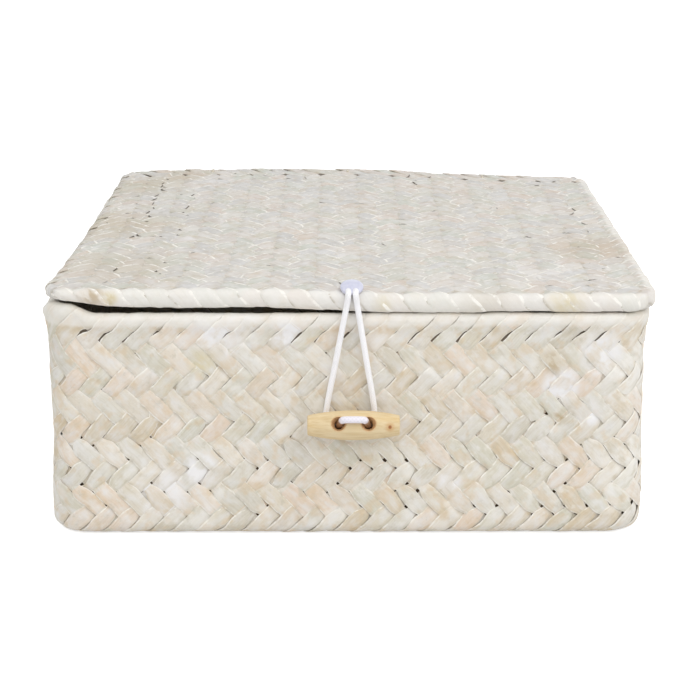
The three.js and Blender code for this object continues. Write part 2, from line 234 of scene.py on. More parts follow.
# The old base's shape: its left wall leans out, its front rim sags and its left front corner stands up
def base_shaped(places):
    left_lean = 0.0026
    right_draw = 0.0013
    corner_rise = 0.0042
    corner_flank = 0.012
    rim_sag = 0.0006
    rear_dip = 0.0008
    moved = np.array(places, float)
    x, y, z = places[..., 0], places[..., 1], places[..., 2]
    left = smooth_step(-x / wall_half)
    moved[..., 0] -= left_lean * left * (0.55 + 0.45 * smooth_step(z / wall_top * 2 - 1))
    moved[..., 0] -= right_draw * smooth_step(x / wall_half) * smooth_step(1 - z / wall_top * 2)
    corner = smooth_step((-x - corner_middle) / corner_flank + 0.7)
    corner = corner * smooth_step((-y - corner_middle) / corner_flank)
    rear = smooth_step((y - corner_middle) / (corner_radius / 2))
    high = smooth_step((z - shoulder) / rim_roll_radius)
    moved[..., 2] += corner_rise * corner * smooth_step((z - shoulder) / corner_radius + 1)
    moved[..., 2] -= rim_sag * high * (1 - corner)
    moved[..., 2] -= rear_dip * high * rear
    return moved


# The walls' slight waviness, nothing at the rim and the foot
def bulging(x, y, up):
    bulge = 0.00025
    window = np.sin(math.pi * np.clip(up / wall_top, 0, 1)) ** 0.7
    waves = np.sin(x * 31 + 1.3) + np.sin((x + y) * 53 + up * 40 + 0.4) + np.sin((x - y) * 17 - up * 25)
    return window * waves * bulge


def wall_place(section, middle_out):
    least = 0.001

    def place(run, length, height):
        out, up, normal_out, normal_up = section.at(length)
        x, y, nx, ny = round_square(run, corner_middle, corner_radius + middle_out)
        reach = np.maximum(corner_radius + out + height * normal_out, least)
        reach = reach + bulging(x, y + corner_middle, up)
        return base_shaped(np.stack([x + nx * reach, y + ny * reach, up + height * normal_up], axis=-1))

    return place


# The lid's edge from its flat top: a tight bend, a nearly upright face and a rounder bend underneath
def lid_section():
    top = lid_high.z - skin_middle
    low = lid_low.z + skin_middle
    out = lid_roll_radius - skin_middle
    tight = 0.0016
    wide = 0.0026
    points = [(0.0, top)]
    points += arc_points(out - tight, top - tight, tight, 90, 0, 10)
    points += arc_points(out - wide, low + wide, wide, 0, -90, 12)
    points.append((lid_roll_radius - flange_width, low))
    line = Section(points)
    line.normal = -line.normal if line.normal[0, 1] < 0 else line.normal
    return line


# The old lid's slight warp: its left side stands a little off the rim
def lid_warp(x, y):
    front_lift, front_end, front_run = 0.0024, 0.030, 0.08
    rear_lift, rear_end, rear_run = 0.0048, 0.125, 0.14
    corner_drop, corner_end, corner_run = 0.0012, -0.09, 0.05
    front = front_lift * smooth_step((front_end - x) / front_run)
    rear = rear_lift * smooth_step((rear_end - x) / rear_run)
    rear = rear - corner_drop * smooth_step((corner_end - x) / corner_run)
    share = smooth_step((y + lid_half) / (2 * lid_half))
    return front * (1 - share) + rear * share


# The old lid's shape: warped, drawn in along its left side and pressed thinner at its left front corner
def lid_shaped(places):
    press_x, press_y, press_share = 0.047, 0.035, 0.42
    draw_front, draw_side, draw_rear, draw_run = 0.0010, 0.0020, 0.0052, 0.04
    moved = np.array(places, float)
    x, y, z = places[..., 0], places[..., 1], places[..., 2]
    corner = smooth_step((-x - lid_half) / press_x + 1) * smooth_step((-y - lid_half) / press_y + 1)
    moved[..., 2] = lid_high.z - (lid_high.z - z) * (1 - press_share * corner) + lid_warp(x, y)
    rearward = np.clip((y + 0.8 * lid_half) / lid_half, 0, 1)
    draw = draw_front + draw_rear * rearward + draw_side * smooth_step((y + lid_half) / draw_run)
    moved[..., 0] += draw * smooth_step(-x / lid_half)
    return moved


lid_edge_line = lid_section()


# Places beyond a square's edge drawn out to a reach, at their height, in the old lid's shape
def folded(x, y, distance, nx, ny, reach, up):
    px = np.where(distance > 0, x - nx * distance + nx * reach, x)
    py = np.where(distance > 0, y - ny * distance + ny * reach, y)
    return lid_shaped(np.stack([px, py, up], axis=-1))


# Place on the lid's upper side and round its edge
def lid_place(x, y, height):
    swing, fade = 0.00030, 0.03
    distance, nx, ny = beyond_square(x, y, lid_roll_half, lid_roll_corner)
    out, up, normal_out, normal_up = lid_edge_line.at(np.maximum(distance, 0))
    top = np.where(distance > 0, up + height * normal_up, lid_high.z - skin_middle + height)
    wave = swing * (np.sin(x * 34 + 0.5) + np.sin(y * 29 - x * 21)) * np.clip(-distance / fade, 0, 1)
    return folded(x, y, distance, nx, ny, out + height * normal_out, top + wave)


# Lid's lining, seen from below, with a skirt that runs down at its edge
def lid_lining_place(x, y, height):
    bend = 0.002
    distance, nx, ny = beyond_square(x, y, lining_half, lining_corner)
    over = np.maximum(distance, 0)
    turn = np.minimum(over / bend, math.pi / 2)
    down = np.maximum(over - bend * math.pi / 2, 0)
    level = lid_lining_high.z - skin_middle
    radius = bend - height
    up = np.where(distance > 0, level - bend + radius * np.cos(turn) - down, level - height)
    return folded(x, y, distance, nx, ny, radius * np.sin(turn), up)


def floor_place(level, facing):
    def place(x, y, height):
        return base_shaped(np.stack([x, y, level + facing * height], axis=-1))
    return place


# A mesh object with its faces, what its material needs to know at each point, and its smoothing
def new_piece(name, places, faces, material, facts=None, sharp=None):
    mesh = bpy.data.meshes.new(name)
    mesh.from_pydata(places.tolist(), [], faces)
    for key, value in (facts or {}).items():
        attribute = mesh.attributes.new(key, "FLOAT", "POINT")
        attribute.data.foreach_set("value", value.astype(np.float32))
    mesh.materials.append(material)
    piece = bpy.data.objects.new(name, mesh)
    bpy.context.scene.collection.objects.link(piece)
    if sharp is not None:
        smooth(piece, sharp)
    return piece


# Smooth shading, with its edges sharp beyond an angle
def smooth(piece, sharp):
    piece.data.shade_smooth()
    piece.data.set_sharp_from_angle(angle=math.radians(sharp))


# Faces between rings of numbered points, whose last ring may meet the first
def ring_faces(index, closed=False):
    low = index if closed else index[:-1]
    high = np.roll(index, -1, 0) if closed else index[1:]
    return np.stack([low, np.roll(low, -1, 1), np.roll(high, -1, 1), high], axis=-1).reshape(-1, 4)


def ring_body(name, rings, material, closed=False, facts=None, sharp=None):
    index = np.arange(rings.shape[0] * rings.shape[1]).reshape(rings.shape[:2])
    faces = ring_faces(index, closed).tolist()
    if not closed:
        faces += [index[0, ::-1].tolist(), index[-1].tolist()]
    return new_piece(name, rings.reshape(-1, 3), faces, material, facts, sharp)


# Thin dark body behind the strips, whose dark brown is painted shade that makes the holes between them look
# deep
def pan(name, halves_corners_heights, shaped):
    rings = []
    for half, corner, height in halves_corners_heights:
        straight = max(half - corner, 0.0)
        radius = half - straight
        run = np.linspace(0, 8 * straight + 2 * math.pi * radius, 96, endpoint=False)
        x, y, nx, ny = round_square(run, straight, radius)
        rings.append(np.stack([x + nx * radius, y + ny * radius, np.full_like(x, height)], axis=-1))
    return ring_body(name, shaped(np.array(rings)), hollow)


# Each point of a row drawn towards the next one, as a value goes from its start to its end
def between(row, starts, ends, t):
    return [first * (end - t) / (end - start) + second * (t - start) / (end - start)
            for first, second, start, end in zip(row, row[1:], starts, ends)]


# A smooth line through points, evenly spaced
def smooth_line(points, count, closed=False):
    points = np.array(points, float)
    if closed:
        points = np.concatenate([points[-1:], points, points[:2]])
    else:
        points = np.concatenate([[2 * points[0] - points[1]], points, [2 * points[-1] - points[-2]]])
    line = []
    for k in range(len(points) - 3):
        p = points[k:k + 4]
        gaps = np.sqrt(np.linalg.norm(np.diff(p, axis=0), axis=1))
        knots = np.concatenate([[0], np.cumsum(gaps)])
        t = np.linspace(knots[1], knots[2], 24, endpoint=False)[:, None]
        pairs = between(between(p, knots, knots[1:], t), knots, knots[2:], t)
        line += between(pairs, knots[1:], knots[2:], t)
    line.append(points[-2][None, :])
    line = np.concatenate(line)
    run = np.concatenate([[0], np.cumsum(np.linalg.norm(np.diff(line, axis=0), axis=1))])
    places = np.linspace(0, run[-1], count)
    return np.stack([np.interp(places, run, line[:, i]) for i in range(3)], axis=1)


# A round cord along a line, with its length and turn round it kept for the braid
def tube(name, line, radius, material, sides=20, closed=False):
    line = np.array(line)
    heading = np.gradient(line, axis=0)
    if closed:
        line = line[:-1]
        heading = np.roll(line, -1, 0) - np.roll(line, 1, 0)
    heading = heading / np.linalg.norm(heading, axis=1)[:, None]
    side = np.cross(heading[0], [0.0, 0.0, 1.0])
    if np.linalg.norm(side) < 0.1:
        side = np.cross(heading[0], [1.0, 0.0, 0.0])
    turns = 2 * math.pi * np.arange(sides) / sides
    rings = []
    for k in range(len(line)):
        side = side - heading[k] * np.dot(side, heading[k])
        side = side / np.linalg.norm(side)
        other = np.cross(heading[k], side)
        rings.append(line[k] + radius * (np.cos(turns)[:, None] * side + np.sin(turns)[:, None] * other))
    run = np.concatenate([[0], np.cumsum(np.linalg.norm(np.diff(line, axis=0), axis=1))])
    facts = {
        "along": np.repeat(run, sides), "from_middle": np.repeat(run - run[-1] / 2, sides),
        "round_x": np.tile(np.cos(turns), len(line)), "round_y": np.tile(np.sin(turns), len(line)),
    }
    return ring_body(name, np.array(rings), material, closed, facts, 60)


# Turn a profile of distances along and out into a closed round body along X
def turned_body(name, profile, sides, material):
    turns = 2 * math.pi * np.arange(sides) / sides
    rings = [np.stack([np.full(sides, along), out * np.cos(turns), out * np.sin(turns)], axis=-1)
             for along, out in profile]
    return ring_body(name, np.array(rings), material)


# Rings and faces of closed strips, with what the material needs to know at each point
class Strips:
    def __init__(self, name):
        self.name = name
        self.places = []
        self.quads = []
        self.caps = []
        self.facts = {key: [] for key in fact_names}
        self.count = 0

    def add(self, rings, facts):
        steps, around = rings.shape[:2]
        index = self.count + np.arange(steps * around).reshape(steps, around)
        self.quads.append(ring_faces(index))
        for k in range(1, around - 1):
            self.caps.append([index[0, 0], index[0, k + 1], index[0, k]])
            self.caps.append([index[-1, 0], index[-1, k], index[-1, k + 1]])
        self.places.append(rings.reshape(-1, 3))
        for key, value in zip(fact_names, facts):
            self.facts[key].append(value.reshape(-1))
        self.count += steps * around

    def build(self, material):
        faces = np.concatenate(self.quads).tolist() + np.array(self.caps).tolist()
        facts = {key: np.concatenate(values) for key, values in self.facts.items()}
        return new_piece(self.name, np.concatenate(self.places), faces, material, facts, 50)


fact_names = ("strip", "along", "across", "lift", "float", "deep", "hole")

# Cross-section of a strip: shares of its half width and of its thickness
section_shares = np.array([
    [-1.0, 0.1], [-0.93, 0.42], [-0.5, 0.5], [0.0, 0.5], [0.5, 0.5], [0.93, 0.42], [1.0, 0.1],
    [0.9, -0.5], [0.0, -0.5], [-0.9, -0.5],
])
plain_section_shares = np.array([
    [-1.0, 0.2], [-0.5, 0.5], [0.5, 0.5], [1.0, 0.2], [0.85, -0.5], [-0.85, -0.5],
])


# How high a strip lies along its floats: 1 over the other strips, -1 under them
def over_wave(cells, bias, ramp):
    share = np.mod(cells, 4)
    distance = np.minimum(share, 4 - share)
    return np.sin(np.clip((1 + bias - distance) / ramp, -1, 1) * math.pi / 2)


# Share by which a strip is narrower where it dives under another: some places leave a hole
def notches(cells, generator, hole_share):
    turn = np.round((cells - 1) / 2)
    drawn = generator.uniform(0, 1, 499)[np.mod(turn.astype(int), 499)]
    depth = np.where(drawn < hole_share, 0.12 + 0.3 * drawn / np.maximum(hole_share, 0.01), 0.0)
    return depth * bell(cells, 2 * turn + 1, 0.36)


def nothing(middle):
    return np.zeros(len(middle))


def a_tenth(middle):
    return np.full(len(middle), 0.1)


# What a weave's strips are like: lengths, shares and what changes over the weave
def weave_look(**given):
    plain = dict(
        width=0.0082, rise=weave_rise, arch=0.00010, camber=0.00008, tilt=0.00014, bias=0.0, ramp=0.34,
        spread=0.0, notch=1.05, wedge=0.0, hollow=0.0, section=plain_section_shares, per_cell=3, turn=1,
        edge=None, holes=a_tenth, slits=nothing, lumps=nothing, deep=nothing)
    return {**plain, **given}


# Lay one strip in the plane of the weave and place it on the surface
def lay_strip(strips, origin, heading, cells_at, start, end, pull, place, look, seed):
    slow, middling, short, quick = 0.025, 0.016, 0.014, 0.005
    wobble_waves, wobble_floats, rise_waves, hole_sink = 0.00026, 0.00014, 0.00010, 0.004
    generator = np.random.default_rng(seed)
    cell = math.hypot(half_pitch, row_height)
    steps = max(3, int(round((end - start) / cell * look["per_cell"])))
    along = np.linspace(start, end, steps + 1)
    across = np.array([-heading[1], heading[0]])
    middle = origin[None, :] + along[:, None] * heading[None, :]
    cells = cells_at(middle) + 0.07 * wander(generator, along, slow)
    wave = over_wave(cells, look["bias"], look["ramp"])
    edge_share = np.zeros_like(along)
    smoothed = edge_share
    if look["edge"] is not None:
        edge_share, over, smoothed = look["edge"](middle)
        wave = wave * (1 - edge_share) + over * edge_share
    floats = np.mod(np.floor((cells + 1) / 2).astype(int), 499)
    float_chance = generator.uniform(-1, 1, 499)[floats]
    notched = notches(cells, generator, look["holes"](middle)) * (1 - edge_share)
    hollow_share = look["hollow"] * notched ** 2
    half_width = look["width"] / 2 * (1 - look["notch"] * notched) * (1 + 0.05 * generator.uniform(-1, 1))
    uneven = 0.045 * wander(generator, along, middling) + 0.010 * wander(generator, along, quick)
    half_width = half_width * (1 + uneven) * (1 + look["spread"] * smoothed)
    half_width = half_width * (1 - look["slits"](middle) * max(generator.uniform(-1.3, 1), -0.3))
    wobble = wobble_waves * wander(generator, along, middling) + wobble_floats * float_chance
    above = np.clip(wave, 0, 1)
    rise = look["rise"] * wave * (1 - 0.5 * smoothed) + above * look["arch"] * float_chance
    rise = rise + rise_waves * wander(generator, along, short) + hole_sink * hollow_share
    rise = rise + look["lumps"](middle) * generator.uniform(0, 1) * above
    tilt = look["tilt"] * (1 + 0.5 * generator.uniform(-1, 1) + 0.6 * float_chance) * (1 - smoothed)
    side_shares = look["section"][None, :, 0]
    height_shares = look["section"][None, :, 1]
    side = side_shares * half_width[:, None]
    last = cell * 0.9
    pulled = pull[0] * smooth_step(1 - (along - start) / last)
    pulled = pulled + pull[1] * smooth_step(1 - (end - along) / last)
    shift = side * pulled[:, None]
    point = middle[:, None, :] + (side + wobble[:, None])[..., None] * across + shift[..., None] * heading
    camber = look["camber"] * (1 - side_shares ** 2) * (0.5 + 0.5 * wave[:, None])
    height = rise[:, None] + height_shares * strip_thickness + camber + tilt[:, None] * side_shares
    wedge = np.where(height_shares < 0, np.clip(side_shares, 0, 1), 0)
    height = height - look["wedge"] * (tilt + look["arch"])[:, None] * wedge
    rings = place(point[..., 0], point[..., 1], height)
    # The facts for the material; "deep" and "hole" weigh the painted shade in the slits and on the holes'
    # inner sides
    values = (
        generator.uniform(), along[:, None] + generator.uniform(0, 3), side_shares, wave[:, None],
        (float_chance * 0.5 + 0.5)[:, None], look["deep"](middle)[:, None],
        hollow_share[:, None] * np.clip(1.7 * side_shares - 0.6, 0, 1),
    )
    order = look["turn"]
    strips.add(rings[:, ::order], [np.broadcast_to(value, height.shape)[:, ::order] for value in values])


# What the outer walls' strips do at the rim and the foot
def wall_edges(section, rises_right):
    lump = 0.00035
    rim_run = section.run_at_height(shoulder)
    foot_run = section.run_at_height(foot_swell_height * 0.7)
    band_run = section.run_at_height(wall_top)
    slit_run = section.run_at_height(wall_top - 2.3 * rim_roll_radius)
    low_run = section.run_at_height(wall_top * 0.7)

    def edge(middle):
        near_rim = smooth_step((rim_run - middle[:, 1]) / row_height)
        near_foot = smooth_step((middle[:, 1] - foot_run) / row_height)
        smoothed = smooth_step((band_run - middle[:, 1]) / (row_height / 2))
        return np.maximum(near_rim, near_foot), 1.0 if rises_right else -1.0, smoothed

    def holes(middle):
        low = smooth_step((middle[:, 1] - low_run) / (6 * row_height))
        return 0.10 + 0.46 * low + 0.1 * bell(middle[:, 1], slit_run, row_height)

    # Where the slits below the rim lie: the weight of their painted shade and of the strips' narrowing there
    def deep(middle):
        return bell(middle[:, 1], slit_run, 0.8 * row_height)

    def slits(middle):
        return 0.2 * deep(middle)

    def lumps(middle):
        return lump * smooth_step((low_run - middle[:, 1]) / row_height) * (1 if rises_right else -1)

    return dict(edge=edge, holes=holes, deep=deep, slits=slits if rises_right else nothing, lumps=lumps,
                spread=0.10)


# Strips round the walls of one family, sorted into walls by where their middles lie
def wall_strips(names, section, middle_out, rises_right, look, seed, row_zero):
    perimeter = 8 * corner_middle + 2 * math.pi * (corner_radius + middle_out)
    count = int(round(perimeter / (2 * half_pitch)))
    pitch = perimeter / count
    slope = -pitch / 2 if rises_right else pitch / 2
    place = wall_place(section, middle_out)
    heading = np.array([slope, row_height])
    heading = heading / np.linalg.norm(heading)
    stretch = math.hypot(slope, row_height) / row_height
    offset = 0 if rises_right else 2
    slant = heading[0] / heading[1]

    def cells_at(middle):
        return (middle[:, 1] - row_zero) / row_height + offset

    groups = [Strips(name) for name in names]
    for k in range(count):
        run = (k + (0.25 if rises_right else -0.25)) * pitch
        origin = np.array([run - slope * row_zero / row_height, 0.0])
        middle = run + slope * (section.length / 2 - row_zero) / row_height
        quarter = int(np.floor(np.mod(middle + corner_middle, perimeter) / (perimeter / 4))) % 4
        lay_strip(groups[quarter % len(groups)], origin, heading, cells_at, 0.0, section.length * stretch,
                  (slant, slant), place, look, seed + k)
    return groups


# Flat weave that follows a square with round corners and may wrap round its edges
def flat_strips(names, half, radius, wrap, place, rises_right, look, seed, columns=False):
    heading = np.array([half_pitch, row_height if rises_right else -row_height])
    heading = heading / np.linalg.norm(heading)
    across = np.array([-heading[1], heading[0]])
    pitch = 2 * half_pitch * abs(heading[1])
    reach = half + wrap
    count = int(math.ceil(reach * 1.42 / pitch))
    offset = 0 if rises_right else 2

    def cells_at(middle):
        return (middle[:, 0] / half_pitch if columns else middle[:, 1] / row_height) + offset

    groups = [Strips(name) for name in names]
    test = np.linspace(-reach * 1.5, reach * 1.5, 3001)
    for k in range(-count, count + 1):
        origin = across * (k + 0.25) * pitch
        line = origin[None, :] + test[:, None] * heading[None, :]
        distance, nx, ny = beyond_square(line[:, 0], line[:, 1], half, radius)
        kept = np.nonzero(distance <= wrap)[0]
        if len(kept) < 2 or test[kept[-1]] - test[kept[0]] < 2 * pitch:
            continue
        pull = []
        for end in (kept[0], kept[-1]):
            along_part = nx[end] * heading[0] + ny[end] * heading[1]
            across_part = nx[end] * across[0] + ny[end] * across[1]
            limit = math.copysign(max(abs(along_part), 0.5), along_part)
            pull.append(float(np.clip(-across_part / limit, -1.2, 1.2)))
        strips = groups[0] if k < 0 else groups[-1]
        first, last = test[kept[0]], test[kept[-1]]
        lay_strip(strips, origin, heading, cells_at, first, last, pull, place, look, seed + k)
    return groups


# A value that a node gives, for plain sums
class Value:
    def __init__(self, tree, socket):
        self.tree = tree
        self.socket = socket

    def maths(self, operation, other=0.0, clamp=False):
        values = {0: self, 1: other}
        node = add_node(self.tree, "ShaderNodeMath", values, operation=operation, use_clamp=clamp)
        return Value(self.tree, node.outputs[0])

    def __add__(self, other):
        return self.maths("ADD", other)

    def __sub__(self, other):
        return self.maths("SUBTRACT", other)

    def __mul__(self, other):
        return self.maths("MULTIPLY", other)

    def spread(self, low, high, new_low=0.0, new_high=1.0):
        values = {"Value": self, "From Min": low, "From Max": high, "To Min": new_low, "To Max": new_high}
        node = add_node(self.tree, "ShaderNodeMapRange", values, interpolation_type="SMOOTHSTEP")
        return Value(self.tree, node.outputs["Result"])


def feed(node, values):
    for key, value in values.items():
        if isinstance(value, Value):
            value.tree.links.new(value.socket, node.inputs[key])
        else:
            node.inputs[key].default_value = value


def add_node(tree, kind, values, **settings):
    node = tree.nodes.new(kind)
    for name, setting in settings.items():
        setattr(node, name, setting)
    feed(node, values)
    return node


# A material whose colour is laid on in layers
class Look:
    def __init__(self, name):
        self.material = bpy.data.materials.new(name)
        self.material.use_nodes = True
        self.tree = self.material.node_tree
        self.surface = self.tree.nodes["Principled BSDF"]

    def fact(self, name):
        node = add_node(self.tree, "ShaderNodeAttribute", {}, attribute_name=name)
        return Value(self.tree, node.outputs["Fac"])

    def place(self):
        return Value(self.tree, self.tree.nodes.new("ShaderNodeTexCoord").outputs["Object"])

    def axes(self, place):
        node = add_node(self.tree, "ShaderNodeSeparateXYZ", {0: place})
        return [Value(self.tree, axis) for axis in node.outputs]

    def noise(self, place, scale=1.0, detail=3.0, roughness=0.55):
        if isinstance(place, tuple):
            joined = add_node(self.tree, "ShaderNodeCombineXYZ", dict(enumerate(place)))
            place = Value(self.tree, joined.outputs[0])
        values = {"Vector": place, "Scale": scale, "Detail": detail, "Roughness": roughness}
        return Value(self.tree, add_node(self.tree, "ShaderNodeTexNoise", values).outputs["Fac"])

    # Share of 1 at a place, fading to nothing at a distance round it
    def spot(self, place, centre, reach, soft):
        node = add_node(self.tree, "ShaderNodeVectorMath", {0: place, 1: centre}, operation="DISTANCE")
        return Value(self.tree, node.outputs["Value"]).spread(reach, reach * (1 - soft))

    def ramp(self, value, stops):
        node = add_node(self.tree, "ShaderNodeValToRGB", {"Fac": value})
        elements = node.color_ramp.elements
        while len(elements) < len(stops):
            elements.new(0.5)
        for element, (place, tone) in zip(elements, stops):
            element.position = place
            element.color = tone
        self.colour = Value(self.tree, node.outputs["Color"])

    def tint(self, share, tone):
        node = add_node(self.tree, "ShaderNodeMix", {0: share, 6: self.colour, 7: tone}, data_type="RGBA")
        self.colour = Value(self.tree, node.outputs[2])

    def set(self, values):
        feed(self.surface, values)

    # Set the surface's values, link the colour and raise the relief
    def finish(self, values, relief, strength, depth):
        raised = {"Height": relief, "Strength": strength, "Distance": depth}
        bump = add_node(self.tree, "ShaderNodeBump", raised)
        self.set({"Base Color": self.colour, "Normal": Value(self.tree, bump.outputs["Normal"]), **values})
        return self.material


def paint(red, green, blue):
    def linear(value):
        value = value / 255
        return value / 12.92 if value <= 0.04045 else ((value + 0.055) / 1.055) ** 2.4
    return (linear(red), linear(green), linear(blue), 1.0)


# Dry plaited leaf: its own tone for each float, fine fibres and a worn white wash; pale painted highlights
# along the strips' edges, painted sheen partly on their paler middles, painted shade where they dive under
# others, in the rim's slits and in the holes, and a pale band at the rim, white wash on the base and a
# painted highlight on the lid
def leaf_material(name, tones, far_edge, shares, spots=(), stains_and_painted_light=(), whitewash_and_painted_light_edge=None):
    ragged_depth, pale_band_run, relief_depth = 0.006, 0.003, 0.0004
    look = Look(name)
    strip, along, across, lift, a_float, deep, hole = [look.fact(key) for key in fact_names]
    place = look.place()
    steps = [(k / len(tones), tone) for k, tone in enumerate(tones)]
    look.ramp((strip + a_float * 3.7).maths("FRACT"), steps)
    by_float = (strip * 7.3 + a_float * 5.1).maths("FRACT")
    apart = strip * 57.0
    fine = look.noise((across * 5.0, along * 75.0, apart))
    coarse = look.noise((across * 1.3, along * 140.0, apart))
    pale_middle_and_sheen = look.noise((across * 0.7, along * 110.0, apart), 1.0, 2.0)
    patchy = look.noise(place, 230.0, 4.0, 0.65)
    blotchy = look.noise(place, 130.0, 3.0, 0.5)
    ragged = look.noise(place, 75.0, 3.0, 0.5)
    worn = look.noise(place, 17.0, 5.0, 0.62)
    for value, low, high, most, tone in (
        (fine, 0.4, 0.75, shares["fibre"], paint(240, 237, 228)),
        (fine, 0.46, 0.25, shares["fibre"], paint(182, 170, 146)),
        (coarse, 0.5, 0.68, 0.4, paint(230, 226, 224)),
        (coarse, 0.44, 0.28, 0.3, paint(200, 187, 163)),
        (patchy, 0.45, 0.3, 0.45, paint(194, 187, 168)),
        (patchy, 0.55, 0.7, 0.4, paint(238, 235, 230)),
        (blotchy, 0.52, 0.66, shares["warm"], paint(216, 190, 150)),
        (ragged, 0.48, 0.34, shares["warm"], paint(246, 244, 240)),
    ):
        look.tint(value.spread(low, high, 0.0, most), tone)
    # Paler middles of the strips: partly the old leaf's own paleness, partly painted sheen
    from_edge = across.maths("ABSOLUTE").spread(1.0, 0.0)
    look.tint(from_edge * pale_middle_and_sheen.spread(0.35, 0.75, 0.0, shares["pale_middle_and_sheen"]), paint(234, 234, 234))
    wash = worn.spread(shares["wash"], shares["wash"] + 0.16, 0.0, 0.5)
    for centre, reach in spots:
        share = look.spot(place, centre, reach, 0.6) * by_float.spread(0.2, 0.6, 0.35, 1.0)
        wash = wash.maths("MAXIMUM", share * blotchy.spread(0.36, 0.56, 0.25, 0.95))
    look.tint(wash, paint(240, 239, 240))
    # Pale band at a rim: white wash on the base's rim, a painted highlight on the lid's front and sides
    if whitewash_and_painted_light_edge is not None:
        level = whitewash_and_painted_light_edge(look.axes(place)) + ragged * ragged_depth
        look.tint(level.spread(0.0, pale_band_run, 0.0, shares["pale"]), paint(246, 243, 237))
    # Stains, and spots of painted light
    for centre, reach, tone, most in stains_and_painted_light:
        look.tint(look.spot(place, centre, reach, 0.9) * coarse.spread(0.35, 0.6, 0.2, most), tone)
    # Pale painted highlight along one edge of each strip, broken by patches; the other edge takes far_edge,
    # a painted highlight on the walls and a painted shadow line on the lid
    uneven = patchy.spread(0.42, 0.58, 0.1, 1.0)
    start = shares["edge_from"]
    look.tint(across.spread(start, start + 0.15, 0.0, shares["edge"]) * uneven, paint(250, 247, 240))
    look.tint(across.spread(-0.04 - start, -0.96, 0.0, shares["edge"] * 0.8) * uneven, far_edge)
    # Painted shade where a strip dives under the others
    look.tint(lift.spread(0.1, -0.9, 0.0, shares["low"]), paint(150, 130, 100))
    # Darker painted shade on the under strips in the slits
    look.tint(deep.spread(0.3, 0.8, 0.0, 0.85) * lift.spread(-0.3, -0.9), paint(84, 68, 50))
    # Painted shade on the inner sides of the holes
    look.tint(hole.spread(0.01, 0.05, 0.0, 0.95), paint(66, 56, 44))
    relief = fine * 0.5 + coarse * 0.8 + patchy * 0.7
    return look.finish({"Roughness": 0.68, "Specular IOR Level": 0.25}, relief, 0.6, relief_depth)


# How far a place lies above the start of the pale rim
def above_rim(axes):
    pale_rim = 0.0050
    return axes[2] - (rim_high.z - pale_rim)


# How far a place lies outside the start of the lid's pale edge round its front and sides, which is a painted
# highlight
def beside_lid(axes):
    pale_edge = 0.0025
    return axes[0].maths("ABSOLUTE").maths("MAXIMUM", axes[1] * -1.0) - (lid_half - pale_edge)


# A material with two clouded tones
def cloudy_material(name, scale, detail, dark, light, values, strength, depth):
    look = Look(name)
    cloud = look.noise(look.place(), scale, detail)
    look.ramp(cloud, [(0.3, dark), (0.7, light)])
    return look.finish(values, cloud, strength, depth)


# Braided cover of a cord: two sets of threads that wind round it, their valleys in the darker tone as
# painted shade
def braid_material(name, light, dark, threads, pitch, shaded_from=None):
    shade_start, shade_stop, shade_end, depth = 0.0016, 0.012, 0.0135, 0.0002
    look = Look(name)
    run = look.fact("along") * (2 * math.pi / pitch)
    winding = look.fact("round_y").maths("ARCTAN2", look.fact("round_x")) * float(threads)
    relief = (run + winding).maths("SINE").maths("MAXIMUM", (run - winding).maths("SINE"))
    share = relief.spread(-0.2, 0.9)
    # Darker tone in the threads' valleys: painted shade
    look.colour = dark
    look.tint(share, light)
    sheen = 0.25
    if shaded_from is not None:
        # Brown painted shade on the part of the cord inside the toggle's bores
        away = look.fact("from_middle").maths("ABSOLUTE")
        near = away.spread(shaded_from, shaded_from + shade_start, 0.0, 0.9)
        look.tint(near * away.spread(shaded_from + shade_end, shaded_from + shade_stop), paint(168, 134, 98))
        sheen = 0.0
    return look.finish({"Roughness": 0.7, "Sheen Weight": sheen}, share, 0.4, depth)


# Turned pale wood: long grain with a small dark knot near its right end, a darker tan ring round each hole
# and a richer brown inside its holes, which is painted shade
def wood_material(knot):
    bend_reach, halo, halo_end, dark, dark_end = 0.007, 0.0032, 0.001, 0.0012, 0.0006
    rim, rim_end, bore, bore_end, depth = 0.0012, 0.0003, 0.00055, 0.0002, 0.0002
    look = Look("toggle_wood")
    x, y, z = look.axes(look.place())
    squares = [(axis - middle) * (axis - middle) for axis, middle in zip((x, y, z), knot)]
    away = (squares[0] + squares[1] + squares[2]).maths("SQRT")
    grain = look.noise((x * 45.0, y * 900.0, z * 900.0 + away.spread(bend_reach, 0.0) * 0.6), 1.0, 4.0)
    broad = look.noise((x * 25.0, y * 160.0, z * 160.0), 1.0, 2.0)
    tones = (paint(214, 189, 145), paint(226, 205, 166), paint(234, 216, 182))
    look.ramp(grain, list(zip((0.3, 0.55, 0.8), tones)))
    look.tint(broad.spread(0.45, 0.7, 0.0, 0.5), paint(226, 196, 140))
    look.tint(away.spread(halo, halo_end, 0.0, 0.45), paint(206, 150, 92))
    look.tint(away.spread(dark, dark_end, 0.0, 0.85), paint(150, 86, 46))
    beside = x.maths("ABSOLUTE") - hole_half_spacing
    from_hole = (beside * beside + z * z).maths("SQRT")
    look.tint(from_hole.spread(hole_radius + rim, hole_radius + rim_end, 0.0, 0.35), paint(206, 170, 116))
    # Richer brown inside the holes: painted shade
    look.tint(from_hole.spread(hole_radius + bore, hole_radius + bore_end, 0.0, 0.95), paint(232, 196, 150))
    return look.finish({"Roughness": 0.62, "Specular IOR Level": 0.12}, grain, 0.25, depth)


# Worn white spots on the front wall: place and size
front = -wall_half
wall_spots = [
    ((-0.093, front, 0.022), 0.017), ((-0.074, front, 0.035), 0.012), ((-0.060, front, 0.110), 0.022),
    ((-0.030, front, 0.106), 0.012), ((0.104, front, 0.078), 0.013), ((0.124, front, 0.094), 0.014),
    ((0.050, front, 0.030), 0.008), ((0.118, front, 0.064), 0.009),
]
